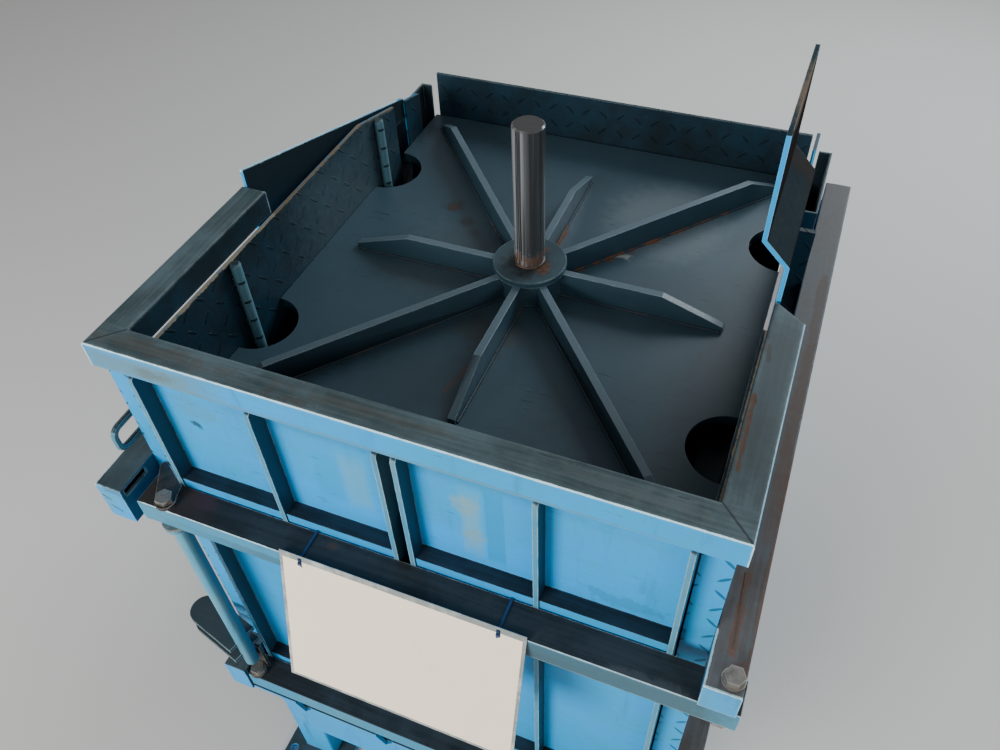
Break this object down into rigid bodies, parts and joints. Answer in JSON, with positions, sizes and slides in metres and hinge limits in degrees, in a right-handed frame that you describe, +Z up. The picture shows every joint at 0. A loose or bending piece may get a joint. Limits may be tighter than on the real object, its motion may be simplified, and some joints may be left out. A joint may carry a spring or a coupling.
{
  "type": "press container",
  "caption": "Steel baling-press container with a hinged front door, a turning claw lock, a ribbed press plate on its rod and a grooved floor.",
  "frame": {"origin": "on the ground, in the middle of the four anchor holes in the feet", "axes": "+X to the right seen from the door, +Y from the door towards the back wall, +Z up along the rod"},
  "size_m": [0.7981, 0.9574, 1.17],
  "materials": {
    "container_paint": "worn satin paint",
    "guard_paint": "dirty satin paint",
    "plate_paint": "dirty dark paint",
    "lock_paint": "greasy worn paint",
    "bare_steel": "worn bare steel",
    "rod_chrome": "polished",
    "notice_film": "glossy film over a plain sheet",
    "tie_plastic": "matte"
  },
  "bodies": {
    "container": {"rim_frame": "container_paint", "left_wall": "container_paint", "right_wall": "container_paint", "back_wall": "container_paint", "left_recess_channel": "container_paint", "right_recess_channel": "container_paint", "left_guard": "guard_paint", "right_guard": "guard_paint", "guide_bar_front": "bare_steel", "guide_bar_rear": "bare_steel", "left_beam_upper": "container_paint", "left_beam_lower": "container_paint", "right_beam_upper": "container_paint", "right_beam_lower": "container_paint", "back_beam_upper": "container_paint", "back_beam_lower": "container_paint", "chamber_floor": "container_paint", "base_skirt": "container_paint", "base_frame": "container_paint", "base_leg_front_left": "container_paint", "base_leg_front_right": "container_paint", "base_leg_rear_left": "container_paint", "base_leg_rear_right": "container_paint", "loop_handle": "bare_steel", "hinge_bolt_upper": "bare_steel", "hinge_bolt_lower": "bare_steel"},
    "door": {"door_sheet_left": "container_paint", "door_sheet_right": "container_paint", "door_rib_1": "container_paint", "door_rib_2": "container_paint", "door_rib_3": "container_paint", "door_rib_4": "container_paint", "door_rib_5": "container_paint", "door_rib_6": "container_paint", "door_beam_upper": "container_paint", "door_beam_lower": "container_paint", "notice_sheet": "notice_film", "notice_ties": "tie_plastic"},
    "lock": {"lock_shaft": "lock_paint", "lock_shaft_collar": "lock_paint", "lock_claw_upper": "lock_paint", "lock_claw_lower": "lock_paint", "lock_bolt_upper": "bare_steel", "lock_bolt_lower": "bare_steel", "lock_ear_upper": "lock_paint", "lock_ear_lower": "lock_paint"},
    "press_plate": {"press_plate": "plate_paint", "press_plate_rib_1": "plate_paint", "press_plate_rib_2": "plate_paint", "press_plate_rib_3": "plate_paint", "press_plate_rib_4": "plate_paint", "press_plate_rib_5": "plate_paint", "press_plate_rib_6": "plate_paint", "press_plate_rib_7": "plate_paint", "press_plate_rib_8": "plate_paint", "press_plate_hub": "plate_paint", "piston_rod": "rod_chrome"}
  },
  "joints": [
    {"name": "door_hinge", "type": "hinge", "parent": "container", "child": "door", "pos_m": [0.368, -0.426, 0.75], "axis": [0, 0, 1], "range_deg": [0, 110]},
    {"name": "lock_turn", "type": "hinge", "parent": "door", "child": "lock", "pos_m": [-0.308, -0.428, 0.749], "axis": [0, 0, 1], "range_deg": [0, 52]},
    {"name": "press_slide", "type": "slide", "parent": "container", "child": "press_plate", "axis": [0, 0, 1], "range_m": [-0.56, 0.14]}
  ]
}
